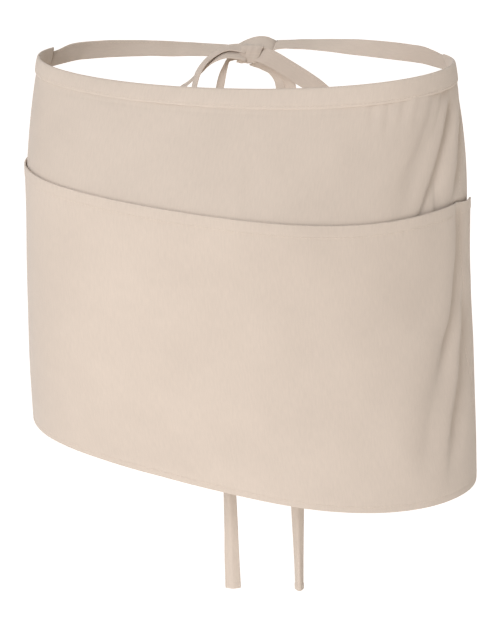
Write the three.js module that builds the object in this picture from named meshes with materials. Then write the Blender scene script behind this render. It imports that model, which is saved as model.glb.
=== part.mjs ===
// Waist apron, worn and tied: cloth panel, deep pocket, waistband, two ties and their bow.
// Millimetres, +Z up. The front faces -Y. The origin is the middle of the waist opening.

import * as THREE from 'three';

// Cloth, laid flat
const APRON_WIDTH = 457;
const APRON_HEIGHT = 305;
const POCKET_DROP = 93;
const BAND_HEIGHT = 15;
const POCKET_HEM = 9;

// Walls and the gaps between layers
const CLOTH_WALL = 1.2;
const BAND_WALL = 1;
const HEM_WALL = 2;
const LAYER_GAP = 0.3;
const POCKET_EASE = 1.2;
const FOLD_ROUNDING = 0.5;

// The waist that the apron is tied round, how far its front dips, and its tilt down to +X
const WAIST_WIDTH = 303;
const WAIST_DEPTH = 190;
const FRONT_DIP = 8;
const DIP_POWER = 1.5;
const SIDE_TILT = 1;

// How much longer the cloth hangs at +X than at -X, at the pocket's edge and at the hem
const EDGE_SLANT = 12.7;
const HEM_SLANT = 16.8;

// Ties
const TIE_WIDTH = 12.7;
const TIE_WALL = 2;
const END_WALL = 1.6;
const TIE_TURN = 30;
const TIE_PINCH = 60;
const TIE_GATHER = 0.62;
const TIE_LIFT = 2.4;
const TIE_RISE_LEFT = -1.8;
const TIE_RISE_RIGHT = 2.4;
const LOOP_PINCH = 0.6;
const END_PINCH = 0.5;
const PINCH_SHARE = 0.2;

// Knot at the back
const KNOT_WIDTH = 27;
const KNOT_HEIGHT = 14;
const KNOT_DEPTH = 13;
const KNOT_SIDE = -1.6;
const KNOT_DROP = 4.6;
const KNOT_INSET = 2;
const KNOT_GAP = 0.5;
const TIE_SET_BACK = 4.5;

// Fineness of the faceted cloth
const COLUMNS = 60;
const UPPER_ROWS = 6;
const LOWER_ROWS = 11;
const FALL_STEPS = 32;
const TIE_STEPS = 26;
const LOOP_STEPS = 48;
const END_STEPS = 44;
const KNOT_SIDES = 16;

// The flattest that cloth may lie as it falls, the reach over which its slope is taken, and the
// area below which a triangle counts as a line
const MOST_RUN = 0.95;
const SLOPE_REACH = 4;
const SMALLEST_AREA = 1e-6;

const HALF_WIDTH = APRON_WIDTH / 2;

// Plan sections of the worn cloth at the waist, the pocket's edge and the hem. width and side are
// shares of the waist's half width, depth and forward of its half depth, turn is in degrees about
// Z, and slide is how far the cloth is carried along the section towards +X, as a share of its
// own half width.
const SECTIONS = {
  waist: { width: 1, depth: 1, squareness: 2.1, turn: 0.7, side: 0, forward: 0, slide: 0.02 },
  edge: { width: 1.071, depth: 1.234, squareness: 2, turn: 16, side: 0.03, forward: 0.15, slide: -0.02 },
  hem: { width: 1.111, depth: 1.153, squareness: 2.1, turn: -6, side: 0.04, forward: 0, slide: 0.06 },
};

// Long dents and swells of the cloth, each from one place to another. A place is its shares of
// the half width and of the height. width and depth are shares of the half width, and a
// negative depth is inward.
const FOLDS = [
  { name: 'side drape, front', from: [0.76, 0.07], to: [0.62, 0.44], width: 0.05, depth: -0.016 },
  { name: 'side drape, rear', from: [0.86, 0.07], to: [0.73, 0.4], width: 0.05, depth: -0.014 },
  { name: 'side swell', from: [0.82, 0.12], to: [0.68, 0.42], width: 0.05, depth: 0.012 },
  { name: 'long drape', from: [0.93, 0.34], to: [0.62, 1.02], width: 0.06, depth: -0.018 },
  { name: 'long drape, rear', from: [0.96, 0.52], to: [0.74, 1.02], width: 0.05, depth: -0.012 },
  { name: 'slanting dent', from: [-0.58, 0.42], to: [-0.42, 0.33], width: 0.05, depth: -0.007 },
  { name: 'low crease', from: [-0.62, 0.72], to: [-0.38, 0.88], width: 0.05, depth: -0.008 },
  { name: 'middle crease', from: [0.04, 0.18], to: [0.05, 0.36], width: 0.03, depth: -0.005 },
];

// Routes of the bow's loops, from the knot and back to it, measured from the knot's middle.
// roll is the tape's turn about its path in degrees: 0 shows its edge to the front, 90 its face.
const LOOP_LEFT = [
  { x: -14, y: -3.5, z: 4, roll: 20 },
  { x: -21, y: -5, z: 4.8, roll: 24 },
  { x: -26.5, y: -7, z: 2.6, roll: 28 },
  { x: -32, y: -8.5, z: -0.9, roll: 30 },
  { x: -38, y: -9.5, z: -6.4, roll: 32 },
  { x: -43.2, y: -9.5, z: -12.4, roll: 32 },
  { x: -46.4, y: -9, z: -19.2, roll: 30 },
  { x: -48.6, y: -8, z: -28, roll: 26 },
  { x: -50.5, y: -6, z: -38, roll: 20 },
  { x: -53, y: -3, z: -49, roll: 12 },
  { x: -59, y: 0, z: -56, roll: 6 },
  { x: -66, y: 2, z: -54, roll: 6 },
  { x: -68, y: 4, z: -45, roll: 8 },
  { x: -64.5, y: 5, z: -35, roll: 10 },
  { x: -58, y: 5.5, z: -27.6, roll: 12 },
  { x: -51.5, y: 5.5, z: -20.5, roll: 14 },
  { x: -44.5, y: 4, z: -14.5, roll: 16 },
  { x: -37.5, y: 1, z: -10.5, roll: 18 },
  { x: -29.5, y: -1.5, z: -7, roll: 18 },
  { x: -21.5, y: -3, z: -4.6, roll: 18 },
  { x: -14, y: -3, z: -2.6, roll: 18 },
];
const LOOP_RIGHT = [
  { x: 6.4, y: -4.5, z: -2.2, roll: 66 },
  { x: 14, y: -5, z: -4.9, roll: 74 },
  { x: 23, y: -5, z: -9.6, roll: 78 },
  { x: 33.4, y: -4.5, z: -15.8, roll: 78 },
  { x: 41, y: -4, z: -20.6, roll: 76 },
  { x: 49, y: -3, z: -26.2, roll: 72 },
  { x: 58, y: -2, z: -34.5, roll: 56 },
  { x: 64, y: -1, z: -48, roll: 26 },
  { x: 63, y: 0, z: -60, roll: 12 },
  { x: 55, y: 1, z: -65, roll: 8 },
  { x: 46, y: 2, z: -60, roll: 14 },
  { x: 38, y: 2.5, z: -50, roll: 26 },
  { x: 31.5, y: 3, z: -38, roll: 36 },
  { x: 26.7, y: 3, z: -28.5, roll: 42 },
  { x: 21.2, y: 3, z: -16.5, roll: 44 },
  { x: 14, y: 2.5, z: -10, roll: 44 },
  { x: 5.6, y: 1.5, z: -6.6, roll: 40 },
];

// Routes of the two free ends, from the knot down past the hem, in the apron's own frame.
const END_LEFT = [
  { x: -15.6, y: 96.8, z: -15.6, roll: 20 },
  { x: -19.6, y: 100, z: -16.5, roll: 22 },
  { x: -24.1, y: 102, z: -18.5, roll: 24 },
  { x: -27.4, y: 103, z: -23.5, roll: 26 },
  { x: -29.6, y: 103, z: -31, roll: 27 },
  { x: -31.3, y: 103, z: -41, roll: 27 },
  { x: -32.1, y: 103.5, z: -60, roll: 27 },
  { x: -32.1, y: 104, z: -90, roll: 28 },
  { x: -31.6, y: 105, z: -125, roll: 29 },
  { x: -30.6, y: 106, z: -160, roll: 30 },
  { x: -29.6, y: 107, z: -200, roll: 32 },
  { x: -28.6, y: 108, z: -240, roll: 34 },
  { x: -27.6, y: 108, z: -280, roll: 33 },
  { x: -26.6, y: 108, z: -320, roll: 31 },
  { x: -25.6, y: 108, z: -360, roll: 36 },
  { x: -24.1, y: 108, z: -400, roll: 48 },
  { x: -23.1, y: 108, z: -430, roll: 58 },
  { x: -22.1, y: 108, z: -453, roll: 64 },
];
const END_RIGHT = [
  { x: -3.4, y: 95, z: -20.2, roll: 16 },
  { x: 3.4, y: 101, z: -24, roll: 22 },
  { x: 10.2, y: 104.5, z: -28, roll: 24 },
  { x: 14.4, y: 105, z: -34, roll: 26 },
  { x: 15.9, y: 105, z: -41, roll: 27 },
  { x: 17.4, y: 105, z: -60, roll: 28 },
  { x: 19.4, y: 105.5, z: -90, roll: 32 },
  { x: 21.4, y: 106, z: -125, roll: 37 },
  { x: 23.4, y: 107, z: -160, roll: 43 },
  { x: 25.4, y: 108, z: -200, roll: 49 },
  { x: 26.9, y: 108, z: -240, roll: 54 },
  { x: 27.9, y: 108, z: -280, roll: 58 },
  { x: 28.9, y: 108, z: -320, roll: 60 },
  { x: 29.9, y: 108, z: -360, roll: 54 },
  { x: 30.9, y: 108, z: -400, roll: 38 },
  { x: 31.9, y: 108, z: -430, roll: 24 },
  { x: 32.4, y: 108, z: -453, roll: 18 },
];

const radians = THREE.MathUtils.degToRad;
const mix = THREE.MathUtils.lerp;
const smooth = THREE.MathUtils.smoothstep;

// The plan section at a drop, eased between the rows of SECTIONS.
function sectionAt(drop) {
  const upper = Math.min(drop / POCKET_DROP, 1);
  const lower = Math.max((drop - POCKET_DROP) / (APRON_HEIGHT - POCKET_DROP), 0);
  const toEdge = upper * (5 - upper) / 4;
  const toHem = lower ** 1.5;
  const blend = (key) => {
    const { waist, edge, hem } = SECTIONS;
    return mix(mix(waist[key], edge[key], toEdge), hem[key], toHem);
  };
  return {
    halfWidth: blend('width') * WAIST_WIDTH / 2,
    halfDepth: blend('depth') * WAIST_DEPTH / 2,
    squareness: blend('squareness'),
    turn: radians(blend('turn')),
    side: blend('side') * WAIST_WIDTH / 2,
    forward: blend('forward') * WAIST_DEPTH / 2,
    slide: blend('slide') * HALF_WIDTH,
  };
}

// The section's outline as points, each with its distance across the cloth from the cloth's middle.
function outlineAt(drop) {
  const s = sectionAt(drop);
  const points = [];
  for (let degrees = -180; degrees <= 180; degrees += 2) {
    const angle = radians(degrees) - s.turn;
    const across = Math.sin(angle);
    const along = Math.cos(angle);
    const x = s.halfWidth * Math.sign(across) * Math.abs(across) ** (2 / s.squareness);
    const y = -s.halfDepth * Math.sign(along) * Math.abs(along) ** (2 / s.squareness);
    const point = new THREE.Vector2(x, y).rotateAround(new THREE.Vector2(), s.turn);
    points.push(point.add(new THREE.Vector2(s.side, -s.forward)));
  }
  const distances = [0];
  for (let i = 1; i < points.length; i++) {
    distances.push(distances[i - 1] + points[i].distanceTo(points[i - 1]));
  }
  const front = points.findIndex((p, i) => i > 0 && p.y < 0 && points[i - 1].x < 0 && p.x >= 0);
  const share = -points[front - 1].x / (points[front].x - points[front - 1].x);
  const middle = mix(distances[front - 1], distances[front], share);
  return { points, distances: distances.map((d) => d - middle - s.slide) };
}

function pointOnOutline(outline, distance) {
  const { points, distances } = outline;
  const last = distances.length - 2;
  const i = THREE.MathUtils.clamp(distances.findIndex((d) => d > distance) - 1, 0, last);
  const share = (distance - distances[i]) / (distances[i + 1] - distances[i]);
  return points[i].clone().lerp(points[i + 1], share);
}

const FALL = Array.from({ length: FALL_STEPS + 1 }, (_, k) => {
  const drop = k / FALL_STEPS * APRON_HEIGHT;
  return { drop, outline: outlineAt(drop) };
});

// How high the waistband's top edge runs: a slight tilt, with a dip across the front.
function waistHeight(point, across) {
  const forward = Math.max(-point.y / (WAIST_DEPTH / 2), 0);
  return -FRONT_DIP * forward ** DIP_POWER - SIDE_TILT * across;
}

// One column of hanging cloth: its points at each step of FALL, keeping the cloth's own length.
function hangColumn(distance) {
  const plan = FALL.map((row) => pointOnOutline(row.outline, distance));
  const across = Math.sin(Math.PI / 2 * distance / HALF_WIDTH);
  const lengthAt = (drop) => {
    const upper = Math.min(drop / POCKET_DROP, 1);
    const lower = Math.max((drop - POCKET_DROP) / (APRON_HEIGHT - POCKET_DROP), 0);
    return drop + across * (EDGE_SLANT * upper + (HEM_SLANT - EDGE_SLANT) * lower);
  };
  let z = waistHeight(plan[0], across);
  return plan.map((p, k) => {
    if (k > 0) {
      const length = lengthAt(FALL[k].drop) - lengthAt(FALL[k - 1].drop);
      const run = Math.min(p.distanceTo(plan[k - 1]), MOST_RUN * length);
      z -= Math.sqrt(length * length - run * run);
    }
    return new THREE.Vector3(p.x, p.y, z);
  });
}

function pointOnColumn(column, drop) {
  const step = THREE.MathUtils.clamp(drop / APRON_HEIGHT * FALL_STEPS, 0, FALL_STEPS);
  const i = Math.min(Math.floor(step), FALL_STEPS - 1);
  return column[i].clone().lerp(column[i + 1], step - i);
}

// How far the folds push the cloth out at a place given by its shares of half width and height.
function foldDepth(across, drop) {
  const place = new THREE.Vector2(across, drop);
  let depth = 0;
  for (const fold of FOLDS) {
    const from = new THREE.Vector2(...fold.from);
    const along = new THREE.Vector2(...fold.to).sub(from);
    const offset = place.clone().sub(from);
    const share = offset.dot(along) / along.lengthSq();
    const aside = offset.addScaledVector(along, -THREE.MathUtils.clamp(share, 0, 1)).length();
    const ends = smooth(share, -0.1, 0.25) * (1 - smooth(share, 0.8, 1.15));
    depth += fold.depth * HALF_WIDTH * ends * Math.exp(-((aside / fold.width) ** 2));
  }
  return depth;
}

// Fills the end of a ring with triangles. The flat shape says which ones lie inside the ring, and
// of all ways to fill it, this takes the one whose cuts are shortest in all.
function capTriangles(ring, shape) {
  const turn = THREE.ShapeUtils.isClockWise(shape) ? -1 : 1;
  const inside = (a, b, c) => turn * THREE.ShapeUtils.area([shape[a], shape[b], shape[c]]) > SMALLEST_AREA;
  const best = ring.map(() => []);
  for (let span = 1; span < ring.length; span++) {
    for (let from = 0; from + span < ring.length; from++) {
      const to = from + span;
      const cut = ring[from].distanceTo(ring[to]);
      best[from][to] = { cost: span === 1 ? 0 : Infinity };
      for (let middle = from + 1; middle < to; middle++) {
        const cost = cut + best[from][middle].cost + best[middle][to].cost;
        if (cost < best[from][to].cost && inside(from, middle, to)) {
          best[from][to] = { cost, middle };
        }
      }
    }
  }
  const collect = (from, to) => {
    const { middle } = best[from][to];
    return middle === undefined ? [] : [[from, middle, to], ...collect(from, middle), ...collect(middle, to)];
  };
  return collect(0, ring.length - 1);
}

// A closed mesh lofted through rings of points, with both ends capped. Each four-sided patch
// is split along its shorter diagonal, so that neighbouring layers are split alike.
function loft(rings, capShape) {
  const count = rings[0].length;
  const points = rings.flat();
  const index = [];
  for (let i = 0; i + 1 < rings.length; i++) {
    for (let j = 0; j < count; j++) {
      const a = i * count + j;
      const b = i * count + (j + 1) % count;
      const [c, d] = [a + count, b + count];
      const falling = points[a].distanceTo(points[d]) < points[b].distanceTo(points[c]);
      index.push(...(falling ? [a, c, d, a, d, b] : [a, c, b, b, c, d]));
    }
  }
  const last = points.length - count;
  index.push(...capTriangles(rings[0], capShape).flat());
  index.push(...capTriangles(rings.at(-1), capShape).flatMap(([a, b, c]) => [last + a, last + c, last + b]));
  const geometry = new THREE.BufferGeometry();
  const positions = points.flatMap((p) => [p.x, p.y, p.z]);
  geometry.setAttribute('position', new THREE.Float32BufferAttribute(positions, 3));
  geometry.setIndex(index);
  geometry.computeVertexNormals();
  return geometry;
}

// The volume inside a closed mesh, negative where its faces point inward.
function signedVolume(geometry) {
  const position = geometry.getAttribute('position');
  const corner = (i) => new THREE.Vector3().fromBufferAttribute(position, geometry.index.getX(i));
  let volume = 0;
  for (let i = 0; i < geometry.index.count; i += 3) {
    volume += corner(i).dot(corner(i + 1).cross(corner(i + 2))) / 6;
  }
  return volume;
}

function facingOut(geometry) {
  if (signedVolume(geometry) < 0) {
    const index = Array.from(geometry.index.array);
    for (let i = 0; i < index.length; i += 3) {
      [index[i + 1], index[i + 2]] = [index[i + 2], index[i + 1]];
    }
    geometry.setIndex(index);
    geometry.computeVertexNormals();
  }
  return geometry;
}

// A layer of the worn cloth. The profile is the layer's outline in each column, as
// points with a drop down the cloth and a distance out from the panel's outer face.
function clothLayer(profile, ease = 0) {
  const columns = [];
  for (let i = -1; i <= COLUMNS + 1; i++) {
    columns.push(hangColumn(mix(-HALF_WIDTH, HALF_WIDTH, i / COLUMNS)));
  }
  const rings = [];
  for (let i = 0; i <= COLUMNS; i++) {
    const across = mix(-1, 1, i / COLUMNS);
    const [before, here, after] = columns.slice(i, i + 3);
    rings.push(profile.map(({ drop, out }) => {
      const point = pointOnColumn(here, drop);
      const sideways = pointOnColumn(after, drop).sub(pointOnColumn(before, drop));
      const down = pointOnColumn(here, drop + SLOPE_REACH).sub(pointOnColumn(here, drop - SLOPE_REACH));
      const normal = sideways.cross(down).normalize().negate();
      const toHem = Math.max((drop - POCKET_DROP) / (APRON_HEIGHT - POCKET_DROP), 0);
      const stand = ease * (1 - toHem) * (1 - across ** 8);
      return point.addScaledVector(normal, out + stand + foldDepth(across, drop / APRON_HEIGHT));
    }));
  }
  const cap = profile.map(({ drop, out }) => new THREE.Vector2(out, -drop));
  return facingOut(loft(rings, cap));
}

// The drops of the rows that the panel and the pocket share.
function rowDrops(from, to, rows) {
  return Array.from({ length: rows + 1 }, (_, k) => mix(from, to, k / rows));
}

function panelGeometry() {
  const top = BAND_WALL + LAYER_GAP;
  const bottom = APRON_HEIGHT - CLOTH_WALL - LAYER_GAP;
  const upper = rowDrops(top, POCKET_DROP, UPPER_ROWS);
  const lower = rowDrops(POCKET_DROP, bottom, LOWER_ROWS).slice(1);
  const drops = [...upper, ...lower];
  const outer = drops.map((drop) => ({ drop, out: 0 }));
  const inner = drops.map((drop) => ({ drop, out: -CLOTH_WALL })).reverse();
  return clothLayer([...outer, ...inner]);
}

// The pocket has a folded top hem, and it turns under the panel's bottom edge.
function pocketGeometry() {
  const hem = POCKET_DROP + POCKET_HEM;
  const panelBottom = APRON_HEIGHT - CLOTH_WALL - LAYER_GAP;
  const near = LAYER_GAP;
  const far = LAYER_GAP + CLOTH_WALL;
  const drops = rowDrops(POCKET_DROP, panelBottom, LOWER_ROWS).slice(1);
  const outer = [
    { drop: POCKET_DROP, out: near + HEM_WALL },
    { drop: hem, out: near + HEM_WALL },
    { drop: hem + 1, out: far },
    ...drops.map((drop) => ({ drop, out: far })),
    { drop: APRON_HEIGHT, out: far - FOLD_ROUNDING },
  ];
  const under = [
    { drop: APRON_HEIGHT, out: FOLD_ROUNDING - CLOTH_WALL },
    { drop: panelBottom + LAYER_GAP, out: -CLOTH_WALL },
    { drop: panelBottom + LAYER_GAP, out: near },
  ];
  const inner = [...drops.slice(0, -1).reverse(), hem, POCKET_DROP].map((drop) => ({ drop, out: near }));
  return clothLayer([...outer, ...under, ...inner], POCKET_EASE);
}

// The waistband is a tape folded over the panel's top edge.
function bandGeometry() {
  const inside = -CLOTH_WALL - LAYER_GAP;
  return clothLayer([
    { drop: 0, out: LAYER_GAP + BAND_WALL },
    { drop: BAND_HEIGHT, out: LAYER_GAP + BAND_WALL },
    { drop: BAND_HEIGHT, out: LAYER_GAP },
    { drop: BAND_WALL, out: LAYER_GAP },
    { drop: BAND_WALL, out: inside },
    { drop: BAND_HEIGHT, out: inside },
    { drop: BAND_HEIGHT, out: inside - BAND_WALL },
    { drop: 0, out: inside - BAND_WALL },
  ]);
}

const TAPE_CORNERS = [[-1, -1], [1, -1], [1, 1], [-1, 1]];

// A flat tape through stations, each with its middle, its width and the direction its width lies in.
function tapeGeometry(stations, wall) {
  const rings = stations.map(({ middle, width, widthDirection, travel }) => {
    const across = widthDirection.clone().normalize();
    const face = new THREE.Vector3().crossVectors(travel, across).normalize();
    return TAPE_CORNERS.map(([w, f]) =>
      middle.clone().addScaledVector(across, w * width / 2).addScaledVector(face, f * wall / 2));
  });
  return facingOut(loft(rings, TAPE_CORNERS.map(([w, f]) => new THREE.Vector2(w, f))));
}

// A tape along a route of points with a roll, drawn as one smooth curve. Its two ends are
// gathered to a share of its width.
function ribbonGeometry(route, offset, steps, startPinch, endPinch) {
  const points = route.map((p) => new THREE.Vector3(p.x, p.y, p.z).add(offset));
  const curve = new THREE.CatmullRomCurve3(points, false, 'centripetal');
  const stations = [];
  for (let i = 0; i <= steps; i++) {
    const t = i / steps;
    const place = t * (route.length - 1);
    const k = Math.min(Math.floor(place), route.length - 2);
    const roll = radians(mix(route[k].roll, route[k + 1].roll, place - k));
    const travel = curve.getTangent(t);
    const edge = new THREE.Vector3(0, 1, 0).addScaledVector(travel, -travel.y).normalize();
    const face = new THREE.Vector3().crossVectors(travel, edge);
    const widthDirection = edge.multiplyScalar(Math.cos(roll)).addScaledVector(face, Math.sin(roll));
    const startWidth = mix(startPinch, 1, smooth(t, 0, PINCH_SHARE));
    const endWidth = mix(endPinch, 1, smooth(1 - t, 0, PINCH_SHARE));
    const width = TIE_WIDTH * Math.min(startWidth, endWidth);
    stations.push({ middle: curve.getPoint(t), width, widthDirection, travel });
  }
  return tapeGeometry(stations, END_WALL);
}

const WAIST_OUTLINE = FALL[0].outline;
const TIE_HEIGHT = -BAND_HEIGHT / 2;
const KNOT_MIDDLE = new THREE.Vector3(KNOT_SIDE, WAIST_DEPTH / 2 - KNOT_INSET, TIE_HEIGHT - KNOT_DROP);

// The distance along the waist outline to the point over a place at the back.
function distanceBehind(x) {
  const { points, distances } = WAIST_OUTLINE;
  const sign = Math.sign(x - KNOT_MIDDLE.x);
  const behind = points
    .map((p, i) => ({ distance: distances[i], miss: Math.abs(p.x - x), back: p.y > 0 }))
    .filter((p) => p.back && p.distance * sign > 0);
  return behind.reduce((best, p) => (p.miss < best.miss ? p : best)).distance;
}

// A tie runs from the band's end round the waist to the knot, and is gathered into it.
function tieGeometry(sign, rise) {
  const start = sign * (HALF_WIDTH + LAYER_GAP);
  const reach = new THREE.Vector2(
    KNOT_MIDDLE.x + sign * (KNOT_WIDTH / 2 + KNOT_GAP),
    KNOT_MIDDLE.y + TIE_SET_BACK,
  );
  const end = distanceBehind(reach.x);
  const column = hangColumn(start);
  const upward = pointOnColumn(column, 0).sub(pointOnColumn(column, BAND_HEIGHT)).normalize();
  const places = [];
  for (let i = 0; i <= TIE_STEPS; i++) {
    const distance = mix(start, end, i / TIE_STEPS);
    const plan = pointOnOutline(WAIST_OUTLINE, distance);
    const near = 1 - smooth(Math.abs(end - distance), 0, TIE_PINCH);
    const far = 1 - smooth(Math.abs(distance - start), 0, TIE_TURN);
    const lean = upward.clone().multiplyScalar(TIE_HEIGHT * far);
    const x = mix(plan.x, reach.x, near * near) + lean.x;
    const y = mix(plan.y, reach.y, near) + lean.y;
    const z = TIE_HEIGHT + mix(TIE_LIFT * (1 - far), rise, near);
    places.push({ middle: new THREE.Vector3(x, y, z), near, far });
  }
  const curve = new THREE.CatmullRomCurve3(places.map((place) => place.middle));
  const intoKnot = new THREE.Vector3(-sign, 0, 0);
  const stations = places.map(({ middle, near, far }, i) => ({
    middle,
    width: TIE_WIDTH * mix(1, TIE_GATHER, near),
    widthDirection: new THREE.Vector3(0, 0, 1).lerp(upward, far),
    travel: curve.getTangent(i / TIE_STEPS).lerp(intoKnot, smooth(i / TIE_STEPS, 0.9, 1)),
  }));
  return tapeGeometry(stations, TIE_WALL);
}

// The knot is a soft wrapped block with a hump over its top, which runs on into the tie on one side.
// x is a share of its half width, the rest are shares of its height and depth.
const KNOT_SECTIONS = [
  { x: -1.0, bottom: -0.3, top: 0.42, depth: 0.78 },
  { x: -0.75, bottom: -0.45, top: 0.56, depth: 0.94 },
  { x: -0.3, bottom: -0.5, top: 0.78, depth: 1.0 },
  { x: 0.1, bottom: -0.46, top: 0.95, depth: 1.0 },
  { x: 0.4, bottom: -0.3, top: 0.96, depth: 0.94 },
  { x: 0.6, bottom: 0.24, top: 0.9, depth: 0.86 },
  { x: 1.0, bottom: 0.28, top: 0.76, depth: 0.76 },
];

function knotGeometry() {
  const rings = KNOT_SECTIONS.map(({ x, bottom, top, depth }) =>
    Array.from({ length: KNOT_SIDES }, (_, k) => {
      const angle = k / KNOT_SIDES * 2 * Math.PI;
      const round = (value) => Math.sign(value) * Math.abs(value) ** 0.75;
      const y = round(Math.cos(angle)) * depth * KNOT_DEPTH / 2;
      const z = mix(bottom, top, 0.5 + round(Math.sin(angle)) / 2) * KNOT_HEIGHT;
      return new THREE.Vector3(x * KNOT_WIDTH / 2, y, z).add(KNOT_MIDDLE);
    }));
  const cap = rings[0].map((p) => new THREE.Vector2(p.y, p.z));
  return facingOut(loft(rings, cap));
}

const cotton = (color) => new THREE.MeshStandardMaterial({ color, roughness: 0.95, metalness: 0 });
const apron = new THREE.Group();

function addPiece(name, geometry, color) {
  const mesh = new THREE.Mesh(geometry, cotton(color));
  mesh.name = name;
  apron.add(mesh);
}

const NO_OFFSET = new THREE.Vector3();
const loop = (route) => ribbonGeometry(route, KNOT_MIDDLE, LOOP_STEPS, LOOP_PINCH, LOOP_PINCH);
const freeEnd = (route) => ribbonGeometry(route, NO_OFFSET, END_STEPS, END_PINCH, 1);

addPiece('apron_panel', panelGeometry(), 0xdcd0c6);
addPiece('pocket_panel', pocketGeometry(), 0xe2d3c5);
addPiece('waistband', bandGeometry(), 0xe1d2c6);
addPiece('tie_left', tieGeometry(-1, TIE_RISE_LEFT), 0xdfcfc0);
addPiece('tie_right', tieGeometry(1, TIE_RISE_RIGHT), 0xdfcfc0);
addPiece('knot', knotGeometry(), 0xddccbc);
addPiece('bow_loop_left', loop(LOOP_LEFT), 0xdfcfc0);
addPiece('bow_loop_right', loop(LOOP_RIGHT), 0xdfcfc0);
addPiece('tie_end_left', freeEnd(END_LEFT), 0xe0d1c3);
addPiece('tie_end_right', freeEnd(END_RIGHT), 0xe0d1c3);

export default apron;
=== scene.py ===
# Waist apron, worn and tied: woven cotton cloth, a deep pocket, a taped waist, ties and a bow.
import math

import bpy
import numpy as np
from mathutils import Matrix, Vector


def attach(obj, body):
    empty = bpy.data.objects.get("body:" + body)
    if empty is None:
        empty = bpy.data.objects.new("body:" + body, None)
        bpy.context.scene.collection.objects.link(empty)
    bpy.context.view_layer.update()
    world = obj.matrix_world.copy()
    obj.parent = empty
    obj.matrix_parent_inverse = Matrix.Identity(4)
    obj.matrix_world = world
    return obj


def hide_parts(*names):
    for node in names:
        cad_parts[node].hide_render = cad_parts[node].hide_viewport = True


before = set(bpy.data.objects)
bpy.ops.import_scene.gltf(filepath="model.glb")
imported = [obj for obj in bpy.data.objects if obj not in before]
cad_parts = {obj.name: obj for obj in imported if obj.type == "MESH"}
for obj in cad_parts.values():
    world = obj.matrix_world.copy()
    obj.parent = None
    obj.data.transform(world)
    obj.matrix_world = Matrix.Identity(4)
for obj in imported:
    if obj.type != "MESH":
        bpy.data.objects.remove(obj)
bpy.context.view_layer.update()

MM = 0.001

# The cloth laid flat, and the waist that it is tied round, in millimetres
APRON_WIDTH = 457.0
APRON_HEIGHT = 305.0
POCKET_DROP = 93.0
POCKET_HEM = 8.0
BAND_HEIGHT = 15.0
WAIST_WIDTH = 303.0
WAIST_DEPTH = 190.0
FRONT_DIP = 8.0
DIP_POWER = 1.5
SIDE_TILT = 1.0
EDGE_SLANT = 12.7
HEM_SLANT = 16.8
MOST_RUN = 0.95
HALF_WIDTH = APRON_WIDTH / 2

# Thicknesses and gaps of the layers
CANVAS = 0.8
TAPE = 0.9
LAYER_GAP = 0.25
POCKET_EASE = 0.4
HEM_EXTRA = 0.35
HEM_INSIDE = 0.5
SIDE_HEM = 20.0
BOTTOM_HEM = 4.0
SEAM_HALF_WIDTH = 0.9
THREAD = 0.17
STITCH = 2.3
STITCH_STEP = 3.2

# Ties, bow and knot
TIE_WIDTH = 12.7
TIE_TURN = 30.0
TIE_PINCH = 60.0
TIE_SET_BACK = 4.5
KNOT_WIDTH = 27.0
KNOT_SIDE = -1.6
KNOT_DROP = 4.6
KNOT_INSET = 2.0
KNOT_GAP = 0.5
TIE_HEIGHT = -BAND_HEIGHT / 2
KNOT_MIDDLE = np.array([KNOT_SIDE, WAIST_DEPTH / 2 - KNOT_INSET, TIE_HEIGHT - KNOT_DROP])

# The camera, as the photograph's
FRAME_HEIGHT = 625
CAMERA_TURN = 6.0
CAMERA_LIFT = 14.34
CAMERA_DISTANCE = 1900.0
CAMERA_FOCUS = 2539.0
CAMERA_SENSOR = 36.0
TARGET_SIDE = 3.29
TARGET_HEIGHT = -192.8

# Routes of the two free ends as in the part, with their roll and lengthwise fold in degrees, and
# their width as a share of the tape's
END_LEFT = [
    (-15.6, 96.8, -15.6, -26, 0, 0.4), (-19.6, 100, -16.5, -27, 0, 0.42), (-24.1, 102, -18.5, -29, 0, 0.45),
    (-26.6, 103, -24, -31, 0, 0.55), (-29.1, 103, -31.5, -33, 0, 0.75), (-31.2, 103, -42, -35, 0, 0.9),
    (-32.1, 103.5, -60, -38, 0, 1), (-32.1, 104, -90, -46, -10, 1), (-31.6, 105, -125, -58, -20, 1),
    (-30.6, 106, -160, -68, -30, 1), (-29.6, 107, -200, -74, -38, 1), (-28.6, 108, -240, -78, -44, 1),
    (-27.6, 108, -280, -80, -48, 1), (-26.6, 108, -320, -82, -50, 1), (-25.6, 108, -360, -84, -46, 1),
    (-24.1, 108, -400, -86, -36, 1), (-23.1, 108, -430, -88, -27, 1), (-22.1, 108, -453, -88, -20, 1),
]
END_RIGHT = [
    (-3.4, 94, -19.4, -34, 0, 0.95), (3.4, 99, -22.6, -36, 0, 1), (10.2, 103.5, -27.2, -36, 0, 1),
    (14.4, 105, -33.6, -36, 0, 1), (15.9, 105, -41, -36, 0, 1), (17.4, 105, -60, -40, 0, 1),
    (19.4, 105.5, -90, -50, -5, 1), (21.4, 106, -125, -62, -8, 1), (23.4, 107, -160, -74, -10, 1),
    (25.4, 108, -200, -82, -12, 1), (26.9, 108, -240, -86, -14, 1), (27.9, 108, -280, -88, -16, 1),
    (28.9, 108, -320, -90, -20, 1), (29.9, 108, -360, -92, -32, 1), (30.9, 108, -400, -94, -50, 1),
    (31.9, 108, -430, -96, -61, 1), (32.4, 108, -453, -96, -66, 1),
]

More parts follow.
